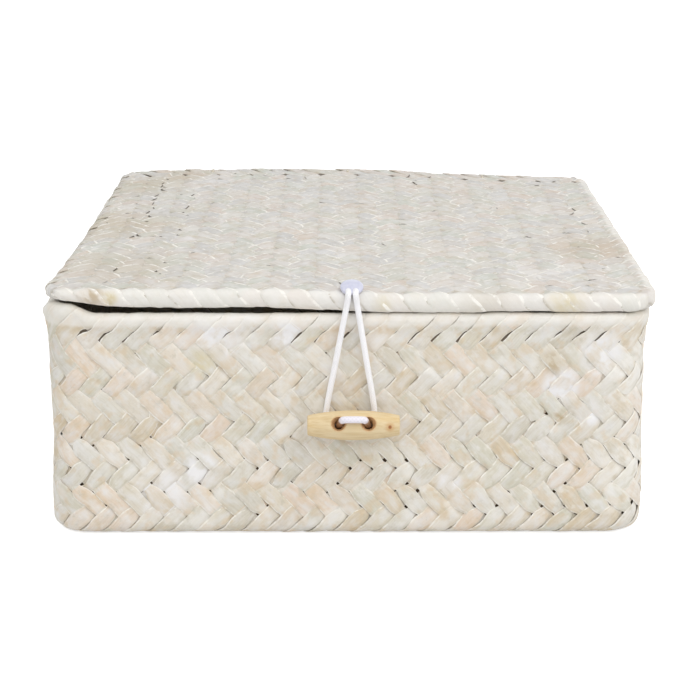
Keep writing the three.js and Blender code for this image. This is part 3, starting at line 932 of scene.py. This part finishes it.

# Stains, and two pale spots of painted light at the front wall's right end: place, size, tone and strength
tan = paint(184, 160, 118)
yellowish = paint(216, 202, 158)
straw = paint(208, 188, 122)
dull = paint(196, 184, 160)
painted_light_pale = paint(244, 241, 234)
wall_stains_and_painted_light = [
    ((0.100, front, 0.090), 0.010, tan, 0.75), ((0.104, front, 0.062), 0.006, tan, 0.8),
    ((-0.072, front, 0.090), 0.010, yellowish, 0.7), ((wall_half, front, 0.085), 0.036, painted_light_pale, 0.75),
    ((wall_half, front, 0.035), 0.036, painted_light_pale, 0.75),
]
lid_stains = [
    ((-0.116, -lid_half, lid_lining_high.z), 0.006, straw, 0.75),
    ((0.016, -lid_half, lid_roll_height), 0.007, yellowish, 0.5),
    ((-0.124, -lid_half, lid_high.z), 0.009, tan, 0.7), ((0.132, -0.05, lid_high.z), 0.045, tan, 0.4),
    ((-0.125, 0.10, lid_high.z), 0.038, dull, 0.6), ((-0.128, -0.01, lid_high.z), 0.050, dull, 0.65),
    ((-0.10, 0.13, lid_high.z), 0.030, tan, 0.4), ((-0.115, -0.10, lid_high.z), 0.050, dull, 0.45),
    ((0.105, -lid_half, lid_roll_height), 0.014, yellowish, 0.6),
    ((0.065, -lid_half, lid_roll_height), 0.020, dull, 0.3),
]
wall_tones = [
    paint(222, 212, 193), paint(209, 205, 188), paint(230, 223, 209), paint(226, 207, 187),
    paint(213, 208, 195), paint(226, 221, 210), paint(214, 198, 171), paint(209, 205, 192),
    paint(229, 211, 190), paint(219, 214, 201),
]
lid_tones = [
    paint(212, 205, 194), paint(200, 202, 192), paint(216, 212, 205), paint(213, 201, 191),
    paint(204, 202, 199),
]
plain_shares = {"fibre": 0.26, "edge_from": 0.78, "pale": 0.6, "pale_middle_and_sheen": 0.4}
# Tone of the wall strips' far edges: a painted highlight
pale_edge = paint(244, 240, 232)
wall_leaf = leaf_material(
    "wall_leaf", wall_tones, pale_edge,
    {**plain_shares, "warm": 0.4, "wash": 0.64, "edge": 0.75, "low": 0.25, "pale_middle_and_sheen": 0.55},
    wall_spots, wall_stains_and_painted_light, above_rim)
# The lid strips' far edges take a darker tone: a painted shadow line
lid_leaf = leaf_material(
    "lid_leaf", lid_tones, paint(196, 188, 172),
    {**plain_shares, "fibre": 0.3, "warm": 0.14, "wash": 0.56, "edge": 0.95, "edge_from": 0.64, "low": 0.12},
    (), lid_stains, beside_lid)
inner_leaf = leaf_material(
    "inner_leaf", wall_tones, pale_edge, {**plain_shares, "warm": 0.3, "wash": 0.7, "edge": 0.5, "low": 0.5})
# Dark brown of the body behind the strips: painted shade
hollow = cloudy_material("painted_shade_core", 300.0, 3.0, paint(78, 62, 46), paint(108, 88, 66),
                         {"Roughness": 0.9}, strength=0.5, depth=0.0005)
cane = cloudy_material("cane", 260.0, 4.0, paint(176, 142, 92), paint(206, 176, 126),
                       {"Roughness": 0.55}, strength=0.4, depth=0.0004)
elastic_braid = braid_material("elastic_braid", paint(254, 254, 255), paint(244, 243, 248),
                               threads=6, pitch=0.0014)
stitch_braid = braid_material("stitch_braid", paint(244, 240, 248), paint(234, 230, 240),
                              threads=5, pitch=0.0016, shaded_from=0.0072)
tie_thread = braid_material("tie_thread", paint(226, 219, 204), paint(192, 180, 156),
                            threads=2, pitch=0.0014)
pearl = cloudy_material("button_pearl", 420.0, 3.0, paint(200, 202, 223), paint(215, 216, 232),
                        {"Roughness": 0.35, "Coat Weight": 0.3}, strength=0.12, depth=0.0002)


# The two families of a weave's strips, each with the seed of its first strip
def families(seed, step):
    return [("rising", True, seed), ("falling", False, seed + step)]


def build_outer_weave():
    section = outer_section()
    row_zero = section.run_at_height(row_start)
    widths = (0.0083, 0.0087)
    groups = []
    for (way, rises, seed), width, bias in zip(families(1000, 2000), widths, (-0.10, 0.10)):
        edges = wall_edges(section, rises)
        look = weave_look(width=width, bias=bias, per_cell=7, section=section_shares, **edges)
        names = [f"weave_{wall}_{way}" for wall in ("front", "right", "rear", "left")]
        groups += wall_strips(names, section, -skin_middle, rises, look, seed, row_zero)
    pieces = [strips.build(wall_leaf) for strips in groups]
    for piece in pieces:
        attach(piece, "base")
    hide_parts("base_outer_weave", "base_rim_fold")


def build_base_lining():
    inside_corner = 0.004
    outside_corner = 0.01
    section = inner_section()
    turned = weave_look(turn=-1)
    half = wall_half - foot_radius
    inside = floor_place(lining_low.z + skin_middle * 2, 1)
    outside = floor_place(skin_middle * 1.8, -1)
    groups = []
    for way, rises, seed in families(5000, 1000):
        groups += wall_strips([f"lining_{way}"], section, section.line[-1][0], rises, turned, seed,
                              section.length / 2)
    for way, rises, seed in families(7000, 500):
        groups += flat_strips([f"inner_floor_{way}"], half - foot_radius / 2, inside_corner, 0.0, inside,
                              rises, weave_look(), seed)
    for way, rises, seed in families(8000, 500):
        groups += flat_strips([f"underside_{way}"], half, outside_corner, 0.0, outside, rises, turned, seed)
    pieces = [strips.build(inner_leaf) for strips in groups]
    for piece in pieces:
        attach(piece, "base")
    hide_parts("base_lining_weave")


def build_base_core():
    gap = 0.0001
    below_rim = 0.001
    top = wall_top - below_rim
    low = lining_low.z + gap

    def side(half, floor):
        swollen = half + foot_swell
        return [
            (swollen - foot_radius, floor), (swollen - foot_radius * 0.22, floor + foot_radius * 0.24),
            (swollen, low + foot_radius), (swollen, foot_swell_height), (half, straight_height), (half, top),
        ]

    outer = wall_half - skin_middle * 2 - gap
    rings = side(outer, low) + side(outer - core_thickness, low + core_thickness)[::-1]
    rings = [(half, corner_radius + half - wall_half, height) for half, height in rings]
    piece = pan("base_core", rings, base_shaped)
    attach(piece, "base")


# On the roll the falling strips lie outside at the front and rear, the rising ones at the sides
def lid_edge(rises_right):
    before, before_rear, run = 0.002, 0.012, 0.005

    def edge(middle):
        distance, nx, ny = beyond_square(middle[:, 0], middle[:, 1], lid_roll_half, lid_roll_corner)
        share = smooth_step((distance + before + before_rear * np.clip(ny * 4 - 3, 0, 1)) / run)
        side = np.where(np.abs(nx) > np.abs(ny), 1.0, -1.0)
        return share, side if rises_right else -side, share

    return edge


def build_lid_weave():
    row_reach, rear_inset = 0.006, 0.0125
    rear_row = lid_roll_half - rear_inset
    left_row, second_row, right_row = -0.123, -0.102, 0.126
    lump, left_lump, rear_lump = 0.0005, 0.0001, 0.0003
    before, run = 0.002, 0.004

    def near_rear(middle):
        return bell(middle[:, 1], rear_row, row_reach)

    def holes(middle):
        x = middle[:, 0]
        left = 0.45 * bell(x, left_row, row_reach) + 0.3 * bell(x, second_row, row_reach)
        return 0.035 + left + 0.32 * bell(x, right_row, row_reach) + 0.2 * near_rear(middle)

    def lumps(middle):
        distance, nx, ny = beyond_square(middle[:, 0], middle[:, 1], lid_roll_half, lid_roll_corner)
        uneven = lump + left_lump * np.clip(-nx, 0, 1) + rear_lump * np.clip(ny, 0, 1)
        return uneven * smooth_step((distance + before) / run)

    def slits(middle):
        return 0.45 * near_rear(middle)

    groups = []
    for way, rises, seed in families(10000, 2000):
        # deep=near_rear weighs the painted shade in the slits near the rear
        look = weave_look(
            width=0.0088, rise=0.00046, camber=0.00004, tilt=0.00050, arch=0.00026, spread=0.14, notch=1.6,
            wedge=1.0, hollow=1.0, section=section_shares, per_cell=6, edge=lid_edge(rises), holes=holes,
            slits=nothing if rises else slits, lumps=lumps, deep=near_rear)
        groups += flat_strips([f"lid_{way}_near", f"lid_{way}_far"], lid_roll_half, lid_roll_corner,
                              lid_edge_line.length, lid_place, rises, look, seed, True)
    pieces = [strips.build(lid_leaf) for strips in groups]
    for piece in pieces:
        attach(piece, "lid")
    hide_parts("lid_outer_weave")


def build_lid_lining():
    skirt = 0.004
    groups = []
    for way, rises, seed in families(14000, 1000):
        groups += flat_strips([f"lid_lining_{way}"], lining_half, lining_corner, lining_edge + skirt,
                              lid_lining_place, rises, weave_look(turn=-1), seed)
    pieces = [strips.build(inner_leaf) for strips in groups]
    for piece in pieces:
        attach(piece, "lid")
    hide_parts("lid_lining_weave")


def build_lid_core():
    beside = 0.004
    below = 0.0005
    half = lid_lining_high.x - beside
    low = lid_lining_high.z - below
    rings = [(half * k / 8, lining_corner, low) for k in range(1, 9)]
    rings += [(width, corner, low + core_thickness) for width, corner, low in rings[::-1]]
    piece = pan("lid_core", rings, lid_shaped)
    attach(piece, "lid")


# Point beside the lid's front roll, at an angle forward from its top and a distance from its middle
def beside_roll(x, degrees, distance):
    turn = math.radians(degrees)
    lift = float(lid_warp(np.array(x), np.array(-lid_roll_half)))
    up = lid_roll_height + distance * math.cos(turn) + lift
    return np.array([x, -lid_roll_half - distance * math.sin(turn), up])


# Point on the tilted button: to the right, down its slope and above its back
def on_button(right, down, above):
    stand_off = 0.0016
    return beside_roll(button_x, 8, lid_roll_radius + stand_off) + np.array([
        right,
        -down * math.cos(button_tilt) - above * math.sin(button_tilt),
        above * math.cos(button_tilt) - down * math.sin(button_tilt),
    ])


# Place behind the toggle, beside its middle
def behind(right, height):
    return np.array([toggle_centre.x + right, -wall_half - cord_gap - elastic_radius, height])


# One strand of the elastic, from under the button to the bend under the stitch
def strand(x, side, spread_out):
    low = stitch_height - stitch_radius - cord_gap - elastic_radius
    beside = hole_half_spacing + stitch_radius + 2 * cord_gap + elastic_radius
    tangent = beside_roll(x + side * 2 * cord_gap, 90, lid_roll_radius + cord_gap + elastic_radius)
    held = behind(spread_out, toggle_centre.z + toggle_radius)
    under_button = ((0.0030, 0.0008), (0.0044, 0.0018), (0.0062, 0.0012))
    return [on_button(x - button_x, down, above) for down, above in under_button] + [
        tangent, tangent + (held - tangent) * 0.16, tangent + (held - tangent) * 0.58, held,
        behind(spread_out * 1.04, toggle_centre.z + elastic_radius), behind(side * beside, stitch_height),
        behind(side * (beside - elastic_radius), low + elastic_radius / 2), behind(side * beside / 2, low),
    ]


def build_elastic():
    half_spacing = 0.0018
    middle_x = 0.0013
    left_spread, right_spread = -0.0129, 0.010
    pull_back = 0.006
    bend = behind(0, stitch_height - stitch_radius - cord_gap - elastic_radius)
    route = strand(middle_x - half_spacing, -1, left_spread) + [bend]
    route += strand(middle_x + half_spacing, 1, right_spread)[::-1]
    piece = tube("elastic_braided", smooth_line(route, 260), elastic_radius, elastic_braid)
    start = beside_roll(middle_x, 60, lid_roll_radius)
    end = beside_roll(middle_x, 90, lid_roll_radius) - np.array([0, 0, pull_back])
    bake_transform(piece)
    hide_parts("elastic_loop")


def in_toggle(along, forward, up):
    return np.array([
        toggle_centre.x + along,
        toggle_centre.y - forward * math.cos(toggle_roll) + up * math.sin(toggle_roll),
        toggle_centre.z + forward * math.sin(toggle_roll) + up * math.cos(toggle_roll),
    ])


def build_stitch():
    rise = 0.0016
    wall_depth = 0.0034
    across = toggle_radius + cord_gap + stitch_radius
    dive = hole_half_spacing - stitch_radius
    half = [
        np.array([toggle_centre.x - hole_half_spacing, wall_depth - wall_half, stitch_height]),
        np.array([toggle_centre.x - hole_half_spacing, -wall_half, stitch_height]),
        in_toggle(-hole_half_spacing, -toggle_radius, 0),
        in_toggle(-hole_half_spacing, -toggle_radius / 3, 0),
        in_toggle(-(dive + hole_half_spacing) / 2, toggle_radius / 4, rise / 2),
        in_toggle(-dive, toggle_radius - stitch_radius, rise),
        in_toggle(stitch_radius / 2 - dive, across - stitch_radius / 2, rise),
        in_toggle(2 * stitch_radius - dive, across + stitch_radius / 8, rise),
    ]
    crest = in_toggle(0, across + stitch_radius / 4, rise)
    mirrored = [np.array([2 * toggle_centre.x - p[0], p[1], p[2]]) for p in half][::-1]
    piece = tube("stitch_cord", smooth_line(half + [crest] + mirrored, 160), stitch_radius, stitch_braid)
    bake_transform(piece)
    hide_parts("toggle_cord")


def build_knots():
    for k in (1, 2):
        node = f"toggle_cord_knot_{k}"
        low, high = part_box(node)
        centre = np.array((low + high) / 2)
        radius = (high.x - low.x) / 2
        depth = (high.y - low.y) / 2
        turns = np.linspace(0, 4 * math.pi, 90)
        lobe = 0.62 + 0.16 * np.sin(turns * 1.5)
        line = centre + np.stack([
            lobe * radius * np.cos(turns), 0.35 * depth * np.sin(turns * 1.5 + 0.5),
            lobe * radius * np.sin(turns),
        ], axis=1)
        piece = tube(f"stitch_knot_{k}", line, radius * 0.36, stitch_braid, 14)
        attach(piece, "base")
        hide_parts(node)


def cut_away(piece, cutter):
    modifier = piece.modifiers.new("cut", "BOOLEAN")
    modifier.operation = "DIFFERENCE"
    modifier.solver = "EXACT"
    modifier.object = cutter
    graph = bpy.context.evaluated_depsgraph_get()
    mesh = bpy.data.meshes.new_from_object(piece.evaluated_get(graph))
    piece.modifiers.clear()
    piece.data = mesh
    bpy.data.objects.remove(cutter, do_unlink=True)


def build_toggle():
    bevel = 0.0008
    flat = toggle_half - bevel
    pin = 0.0005
    flare, flare_start, flare_run = 0.0006, 0.0019, 0.0018
    end = [(-toggle_half, pin), (-toggle_half, toggle_end_radius - bevel)]
    end += arc_points(-flat, toggle_end_radius - bevel, bevel, 180, 90, 4)[1:]
    swell = toggle_radius - toggle_end_radius
    barrel = []
    for share in [2 * k / 40 - 1 for k in range(1, 40)]:
        barrel.append((share * flat, toggle_end_radius + swell * (1 - share * share)))
    profile = end + barrel + [(-along, out) for along, out in end[::-1]]
    knot_right, knot_down = 0.0176, 0.0015
    material = wood_material((knot_right, -toggle_end_radius * 1.05, -knot_down))
    piece = turned_body("toggle_barrel", profile, 96, material)
    for side in (-1, 1):
        hole_profile = []
        for share in np.linspace(-1.3, 1.3, 41):
            depth = share * toggle_radius
            near = float(smooth_step((-depth - (toggle_radius - flare_start)) / flare_run))
            inward = float(smooth_step((share + 0.65) / 0.6))
            out = hole_radius + flare * near + (stitch_radius * 1.2 - hole_radius) * inward
            hole_profile.append((depth, out))
        cutter = turned_body("hole_cutter", hole_profile, 48, material)
        cutter.rotation_euler = (0, 0, math.pi / 2)
        cutter.location = (side * hole_half_spacing, 0, 0)
        bpy.context.view_layer.update()
        cut_away(piece, cutter)
    smooth(piece, 35)
    piece.rotation_euler = (-toggle_roll, 0, 0)
    piece.location = toggle_centre
    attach(piece, "toggle")
    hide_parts("toggle")


def build_button():
    radius = (button_high.x - button_low.x) / 2
    edge = 0.0015
    rise = 0.0011
    pin = 0.0004
    shank_radius, shank_foot, shank_length = 0.0012, 0.0015, 0.0028
    profile = [(0.0, pin), (0.0, radius - edge / 3), (edge / 6, radius - edge / 9), (edge / 3, radius)]
    for turn in [math.pi / 2 * k / 12 for k in range(13)]:
        profile.append((edge + rise * math.sin(turn), max(radius * math.cos(turn), pin)))
    piece = turned_body("button_dome", profile, 64, pearl)
    piece.rotation_euler = (0, -math.pi / 2, 0)
    bpy.context.view_layer.update()
    piece.data.transform(piece.matrix_world)
    piece.rotation_euler = (button_tilt, 0, 0)
    piece.location = on_button(0, 0, 0)
    smooth(piece, 40)
    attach(piece, "lid")
    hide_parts("button")
    line = [beside_roll(button_x, 12, lid_roll_radius - shank_foot + shank_length * k / 8) for k in range(9)]
    shank = tube("button_shank", line, shank_radius, tie_thread, 14)
    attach(shank, "lid")
    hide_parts("button_thread")


def build_ties():
    inside = 0.0031
    clear = 0.001
    lid_hole = lid_half - flange_width - clear
    roll_top = lid_roll_height + lid_roll_radius
    for k in (1, 2, 3):
        node = f"hinge_tie_{k}"
        low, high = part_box(node)
        x = (low.x + high.x) / 2
        radius = (high.x - low.x) / 2
        outside = high.y - radius
        hole = low.z + radius
        return_y = low.y + radius + clear
        lift = float(lid_warp(np.array(x), np.array(lid_roll_half)))
        section = [(wall_half - inside, hole), (wall_half, hole)]
        section += [(outside - radius, hole), (outside, hole + radius)]
        for t in np.radians(np.linspace(0, 90, 7)):
            y = lid_roll_half + (outside - lid_roll_half) * math.cos(t)
            section.append((y, lid_roll_height + lid_roll_radius * math.sin(t) + lift))
        section += [
            (lid_hole + radius, roll_top + lift), (lid_hole, roll_top - 2 * radius + lift),
            (lid_hole, lid_low.z - radius + lift), (return_y, lid_low.z - lid_roll_radius),
            (return_y, hole + 2 * radius),
        ]
        line = smooth_line([(x, y, z) for y, z in section], 130, True)
        piece = tube(f"tie_{k}", line, radius, tie_thread, 12, True)
        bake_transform(piece)
        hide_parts(node)


# A cane hoop along a square with round corners, shaped like its rim
def build_hoop(name, node, half, corner, height, radius, body, shaped):
    straight = half - corner
    x, y, nx, ny = round_square(np.linspace(0, 8 * straight + 2 * math.pi * corner, 241), straight, corner)
    line = np.stack([x + nx * corner, y + ny * corner, np.full_like(x, height)], axis=-1)
    piece = tube(name, line, radius, cane, 14, True)
    places = np.array([vertex.co for vertex in piece.data.vertices])
    piece.data.vertices.foreach_set("co", shaped(places).reshape(-1))
    piece.data.update()
    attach(piece, body)
    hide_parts(node)


# Share of 1 for the rays that see the ground and the sky, so that both look white
def white_for_the_camera(tree):
    rays = tree.nodes.new("ShaderNodeLightPath").outputs
    kinds = ("Camera", "Glossy", "Transmission")
    camera, glossy, through = [Value(tree, rays[f"Is {kind} Ray"]) for kind in kinds]
    return (camera + glossy).maths("ADD", through, True)


def build_floor():
    reach = 8.0
    level = -0.0002
    look = Look("studio_floor")
    look.set({
        "Base Color": (0.8, 0.8, 0.8, 1.0), "Roughness": 1.0, "Specular IOR Level": 0.0,
        "Emission Color": (1.0, 1.0, 1.0, 1.0), "Emission Strength": white_for_the_camera(look.tree) * 0.7,
    })
    corners = [(x * reach, y * reach, level) for x, y in ((-1, -1), (1, -1), (1, 1), (-1, 1))]
    new_piece("studio_floor", np.array(corners), [(0, 1, 2, 3)], look.material)


def build_world():
    world = bpy.data.worlds.new("studio")
    bpy.context.scene.world = world
    world.use_nodes = True
    tree = world.node_tree
    strength = white_for_the_camera(tree) * 0.5 + 0.5
    feed(tree.nodes["Background"], {"Color": (1.0, 1.0, 1.0, 1.0), "Strength": strength})


def build_light(name, place, aim_height, power):
    data = bpy.data.lights.new(name, "AREA")
    data.shape = "SQUARE"
    data.size = 2.2
    data.energy = power
    light = bpy.data.objects.new(name, data)
    light.location = place
    light.rotation_euler = (Vector((0, 0, aim_height)) - Vector(place)).to_track_quat("-Z", "Y").to_euler()
    bpy.context.scene.collection.objects.link(light)


def build_camera():
    data = bpy.data.cameras.new("camera")
    data.sensor_width = 36.0
    data.lens = 96.28
    camera = bpy.data.objects.new("camera", data)
    camera.location = (-0.0032, -1.0241, 0.3534)
    camera.rotation_euler = (math.radians(73.684), 0, math.radians(-0.229))
    bpy.context.scene.collection.objects.link(camera)
    bpy.context.scene.camera = camera


build_outer_weave()
build_base_lining()
build_base_core()
build_lid_weave()
build_lid_lining()
build_lid_core()
build_elastic()
build_stitch()
build_knots()
build_toggle()
build_button()
build_ties()
build_hoop("base_hoop", "base_rim_hoop", rim_half, corner_radius - rim_hoop_radius, rim_centre_height,
           rim_hoop_radius, "base", base_shaped)
build_hoop("lid_hoop", "lid_rim_hoop", lid_roll_half, lid_roll_corner, lid_hoop_height, lid_hoop_radius,
           "lid", lid_shaped)
build_floor()
build_world()
build_light("key", place=(1.0, -1.05, 1.62), aim_height=0.08, power=27.0)
build_light("fill", place=(-1.45, -1.15, 1.03), aim_height=0.06, power=11.5)
build_light("rear", place=(0.6, 1.7, 0.8), aim_height=0.06, power=4.0)
build_camera()
bpy.context.scene.view_settings.view_transform = "Standard"
